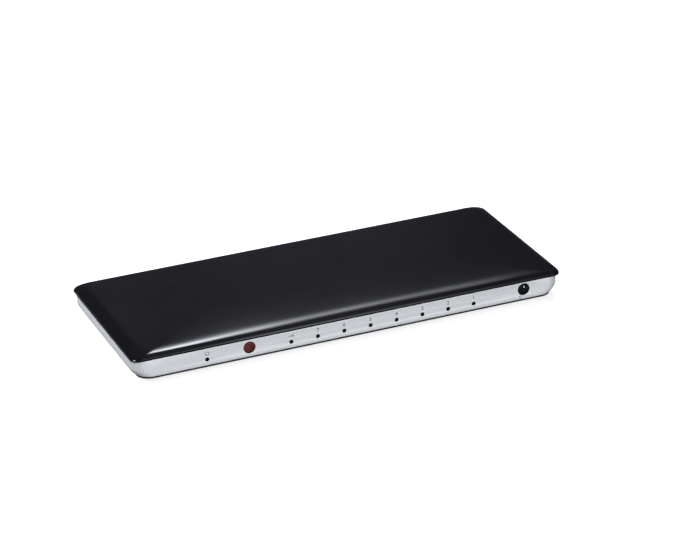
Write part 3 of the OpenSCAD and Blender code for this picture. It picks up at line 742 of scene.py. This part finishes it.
# finishes of the solids that are kept
finishOf = {
    "bottom_cover": powderCoat, "case_screws": blackZinc, "board_screws": brightNickel,
    "main_board": solderMask, "hdmi_contacts": contactGold,
    "dc_jack_body": connectorPolymer, "dc_jack_pin": brightNickel, "dc_jack_spring": contactGold,
    "switch_plunger": connectorPolymer, "switch_housing": connectorPolymer, "switch_dome": brightNickel,
    "ir_receiver": chipEpoxy, "ir_receiver_pins": brightNickel, "regulator_ic": chipEpoxy,
    "switch_ic_a": chipEpoxy, "switch_ic_b": chipEpoxy, "redriver_ic": chipEpoxy,
    "controller_ic": chipEpoxy, "memory_ic": chipEpoxy, "power_inductor": ferrite,
    "filter_capacitors": drawnAluminium, "clock_crystal": brightNickel,
}
# the lamps' lenses take the dark lens finish, whose darkness is painted shade from their holes
finishOf.update({node: darkLensPaintedShade for node in lampNodes})
for node, material in finishOf.items():
    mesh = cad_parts[node].data
    mesh.materials.clear()
    mesh.materials.append(material)
print("kept solids finished:", len(finishOf))


# studio: a white sheet, a dim room with one soft window behind the object and a light in front of it
studio = {
    "floorHalf": 6.0, "paper": "#f2f2f2", "shade": "#5a5c60", "white": 1.5,
    "shown": 0.4, "shadowReach": 0.3,  # share of plain white over the paper, and where it starts to grow
    "room": "#5a5c66", "ceiling": 2.2, "ceilingFrom": 0.5, "ceilingTo": 0.95,
    "windowColour": "#f4f8ff", "coreGlow": 23.0, "veilGlow": 9.0, "frontGlow": 3.2,
    "halfFrom": 0.05, "halfTo": 0.2,  # how the light of the front and of the back half fades in
    "liftFrom": 0.12, "lean": 0.18, "leanFrom": 0.287,
}
# brightness by the sideways and the upward part of a direction: the room, the light in front, and the window
# with a narrow bright core and a wide veil; the lift bends the window, and the crown's ramp ends the veil
ramps = {
    "roomSide": [
        (0.1, 0.35), (0.16, 0.45), (0.2, 0.6), (0.225, 0.78), (0.24, 0.9), (0.255, 0.85), (0.268, 0.74),
        (0.285, 0.75), (0.31, 0.9), (0.35, 0.9), (0.39, 0.5), (0.43, 0.45)],
    "frontSide": [
        (0.2, 0.05), (0.27, 0.4), (0.29, 1.0), (0.31, 1.0), (0.36, 0.55), (0.4, 0.3), (0.46, 0.0)],
    "frontRise": [(0.0, 0.9), (0.28, 1.0), (0.42, 0.65), (0.56, 0.3), (0.7, 0.1), (0.85, 0.02)],
    "liftSide": [
        (0.266, 0.0), (0.272, 0.03), (0.279, 0.06), (0.286, 0.08), (0.297, 0.105), (0.307, 0.125),
        (0.321, 0.155), (0.338, 0.175), (0.355, 0.17), (0.371, 0.155), (0.388, 0.115), (0.401, 0.065)],
    "coreSide": [
        (0.21, 0.0), (0.245, 0.5), (0.262, 1.0), (0.272, 1.0), (0.279, 0.66), (0.286, 0.43),
        (0.297, 0.13), (0.307, 0.02), (0.315, 0.0)],
    "coreRise": [
        (0.5, 0.0), (0.56, 0.01), (0.645, 0.04), (0.68, 0.08), (0.724, 0.17), (0.757, 0.38), (0.789, 0.66),
        (0.82, 0.92), (0.843, 1.0), (0.865, 0.9), (0.88, 0.61), (0.9, 0.08), (0.91, 0.0)],
    "veilSide": [
        (0.262, 0.0), (0.272, 0.02), (0.279, 0.25), (0.286, 0.52), (0.297, 0.92), (0.307, 0.82),
        (0.321, 0.456), (0.338, 0.44), (0.355, 0.29), (0.371, 0.245), (0.388, 0.195), (0.401, 0.05),
        (0.41, 0.01)],
    "veilRise": [
        (0.5, 0.1), (0.55, 0.15), (0.605, 0.22), (0.655, 0.34), (0.704, 0.48), (0.745, 0.68), (0.78, 0.8),
        (0.82, 0.96), (0.845, 1.0), (0.86, 0.95), (0.875, 0.88), (0.89, 0.74), (0.908, 0.57), (0.924, 0.4),
        (0.94, 0.28), (0.967, 0.06), (0.985, 0.0)],
    "crownRise": [
        (0.42, 0.0), (0.44, 0.03), (0.457, 0.07), (0.472, 0.18), (0.479, 0.25), (0.487, 0.55),
        (0.5, 0.8), (0.55, 1.0)],
}
# lamps: three that light everything and show in no mirror, and three that are only mirrored,
# each by one piece
lamps = {
    "key": {"at": (-0.2, -1.29, 0.62), "size": (0.7, 0.7), "glow": 14.8, "lights": True},
    "left": {"at": (-0.85, 0.8, 1.05), "size": (0.8, 0.6), "glow": 29.0, "lights": True},
    "rear": {"at": (0.2, 0.85, 1.2), "size": (0.9, 0.7), "glow": 5.0, "lights": True},
    "sheen": {"at": (0.8, -2.1, 0.4), "size": (1.0, 0.8), "glow": 7.0,
              "mirroredBy": "silver_side_band"},
    "corner": {"at": (-0.9, -0.25, 0.6), "size": (0.32, 0.32), "glow": 24.0,
               "mirroredBy": "gloss_top_cover"},
    "glint": {"at": (0.51, -0.94, 0.14), "size": (0.17, 0.17), "glow": 42.0,
              "mirroredBy": "select_button_cap"},
}


def makeFloor(form):
    # white to the camera, with a share of real paper near the object that keeps the shadow;
    # grey where the object is lit by it or mirrors it
    half = form["floorHalf"]
    mesh = bpy.data.meshes.new("paper_floor")
    corners = [(-half, -half, 0), (half, -half, 0), (half, half, 0), (-half, half, 0)]
    mesh.from_pydata(corners, [], [[0, 1, 2, 3]])
    material = bpy.data.materials.new("white_paper")
    material.use_nodes = True
    tree = material.node_tree
    tree.nodes.clear()
    camera = addNode(tree, "ShaderNodeLightPath").outputs["Is Camera Ray"]
    tone = addNode(tree, "ShaderNodeMix", {"Factor": camera}, data_type="RGBA")
    tone.inputs["A"].default_value = linear(form["shade"])
    tone.inputs["B"].default_value = linear(form["paper"])
    paper = addNode(tree, "ShaderNodeBsdfDiffuse", {"Color": tone.outputs["Result"]})
    white = addNode(tree, "ShaderNodeEmission", {"Color": (1, 1, 1, 1), "Strength": form["white"]})
    place = addNode(tree, "ShaderNodeTexCoord").outputs["Object"]
    reach = addNode(tree, "ShaderNodeVectorMath", {0: place}, operation="LENGTH").outputs["Value"]
    glow = addNode(tree, "ShaderNodeMapRange", {
        "Value": reach, "From Min": form["shadowReach"], "From Max": 2 * form["shadowReach"],
        "To Min": form["shown"], "To Max": 1.0}).outputs[0]
    share = addNode(tree, "ShaderNodeMath", {0: camera, 1: glow}, operation="MULTIPLY").outputs[0]
    mix = addNode(tree, "ShaderNodeMixShader", {0: share, 1: paper.outputs[0], 2: white.outputs[0]})
    addNode(tree, "ShaderNodeOutputMaterial", {"Surface": mix.outputs[0]})
    mesh.materials.append(material)
    floor = bpy.data.objects.new("paper_floor", mesh)
    bpy.context.scene.collection.objects.link(floor)


def makeRoom(form):
    # world by direction: white to the camera, else the dim room and the sum of three lights,
    # each the product of its glow, its half of the room and its ramps
    world = bpy.data.worlds.new("studio_room")
    bpy.context.scene.world = world
    world.use_nodes = True
    tree = world.node_tree
    tree.nodes.clear()
    way = addNode(tree, "ShaderNodeTexCoord").outputs["Generated"]
    x, y, z = addNode(tree, "ShaderNodeSeparateXYZ", {0: way}).outputs
    behind, before = (addNode(tree, "ShaderNodeMapRange", {
        "Value": y, "From Min": sign * form["halfFrom"], "From Max": sign * form["halfTo"]}).outputs[0]
        for sign in (1, -1))
    bent = addNode(tree, "ShaderNodeValToRGB", {"Fac": x}, ramps["liftSide"]).outputs["Color"]
    lift = addNode(tree, "ShaderNodeMath", {0: bent, 1: form["liftFrom"]}, operation="SUBTRACT").outputs[0]
    rise = addNode(tree, "ShaderNodeMath", {0: z, 1: lift}, operation="ADD").outputs[0]
    aside = addNode(tree, "ShaderNodeMath", {0: x, 1: form["leanFrom"]}, operation="SUBTRACT").outputs[0]
    crown = addNode(tree, "ShaderNodeMath", {0: aside, 1: form["lean"], 2: z},
                    operation="MULTIPLY_ADD").outputs[0]
    lights = (
        (form["coreGlow"], behind, {"coreSide": x, "coreRise": rise}),
        (form["veilGlow"], behind, {"veilSide": x, "veilRise": rise, "crownRise": crown}),
        (form["frontGlow"], before, {"frontSide": x, "frontRise": z}),
    )
    light = 0.0
    for glow, level, values in lights:
        for name, value in values.items():
            ramp = addNode(tree, "ShaderNodeValToRGB", {"Fac": value}, ramps[name]).outputs["Color"]
            level = addNode(tree, "ShaderNodeMath", {0: level, 1: ramp}, operation="MULTIPLY").outputs[0]
        light = addNode(tree, "ShaderNodeMath", {0: level, 1: glow, 2: light},
                        operation="MULTIPLY_ADD").outputs[0]
    ceiling = addNode(tree, "ShaderNodeMapRange", {
        "Value": z, "From Min": form["ceilingFrom"], "From Max": form["ceilingTo"],
        "To Min": 1.0, "To Max": form["ceiling"]}).outputs[0]
    walls = addNode(tree, "ShaderNodeValToRGB", {"Fac": x}, ramps["roomSide"]).outputs["Color"]
    dim = addNode(tree, "ShaderNodeMath", {0: walls, 1: ceiling}, operation="MULTIPLY").outputs[0]
    room = addNode(tree, "ShaderNodeBackground", {"Color": linear(form["room"]), "Strength": dim})
    window = addNode(tree, "ShaderNodeBackground", {
        "Color": linear(form["windowColour"]), "Strength": light})
    both = addNode(tree, "ShaderNodeAddShader", {0: room.outputs[0], 1: window.outputs[0]})
    white = addNode(tree, "ShaderNodeBackground", {"Color": (1, 1, 1, 1), "Strength": 1.0})
    camera = addNode(tree, "ShaderNodeLightPath").outputs["Is Camera Ray"]
    seen = addNode(tree, "ShaderNodeMixShader", {0: camera, 1: both.outputs[0], 2: white.outputs[0]})
    addNode(tree, "ShaderNodeOutputWorld", {"Surface": seen.outputs[0]})


def makeLamp(name, at, size, glow, lights=False, mirroredBy=None):
    # rectangular lamp that faces the object; its power is its face's brightness times pi times its area;
    # mirroredBy names the one piece that it reaches
    data = bpy.data.lights.new(name, "AREA")
    data.shape = "RECTANGLE"
    data.size, data.size_y = size
    data.energy = glow * math.pi * size[0] * size[1]
    lamp = bpy.data.objects.new(name, data)
    bpy.context.scene.collection.objects.link(lamp)
    lamp.location = at
    lamp.rotation_euler = (-Vector(at)).to_track_quat("-Z", "Y").to_euler()
    lamp.visible_camera = False
    lamp.visible_diffuse = lights
    lamp.visible_glossy = mirroredBy is not None
    if mirroredBy:
        reached = bpy.data.collections.new(name + "_reaches")
        reached.objects.link(bpy.data.objects[mirroredBy])
        lamp.light_linking.receiver_collection = reached


makeFloor(studio)
makeRoom(studio)
for lampName, lampForm in lamps.items():
    makeLamp("studio_" + lampName, **lampForm)


# camera: fitted angles and distance, turned so that the aim point lands on its pixel in the frame
view = {
    "azimuth": -21.167, "elevation": 24.912, "roll": -2.355, "distance": 1.43358, "focus": 2830.67,
    "frame": (700, 550), "aim": (0, 0, 0), "pixel": (317.1, 302.43), "sensor": 36.0,
}


def makeCamera(form):
    # axes from azimuth, elevation and roll, then the smallest turn that moves the aim point to its pixel
    a, e, roll = (math.radians(form[key]) for key in ("azimuth", "elevation", "roll"))
    back = Vector((math.sin(a) * math.cos(e), -math.cos(a) * math.cos(e), math.sin(e)))
    right = Vector((math.cos(a), math.sin(a), 0))
    up = back.cross(right)
    right, up = math.cos(roll) * right + math.sin(roll) * up, math.cos(roll) * up - math.sin(roll) * right
    turn = Matrix((right, up, back)).transposed()
    offset = [p - size / 2 for p, size in zip(form["pixel"], form["frame"])]
    ray = Vector((offset[0], -offset[1], -form["focus"])).normalized()
    turn = turn @ ray.rotation_difference(Vector((0, 0, -1))).to_matrix()
    data = bpy.data.cameras.new("photo_camera")
    data.sensor_width = form["sensor"]
    data.lens = form["focus"] / form["frame"][0] * form["sensor"]
    camera = bpy.data.objects.new("photo_camera", data)
    bpy.context.scene.collection.objects.link(camera)
    place = Vector(form["aim"]) * mm + back * form["distance"]
    camera.matrix_world = Matrix.Translation(place) @ turn.to_4x4()
    bpy.context.scene.camera = camera


makeCamera(view)
bpy.context.scene.view_settings.view_transform = "Standard"
print("studio and camera made")
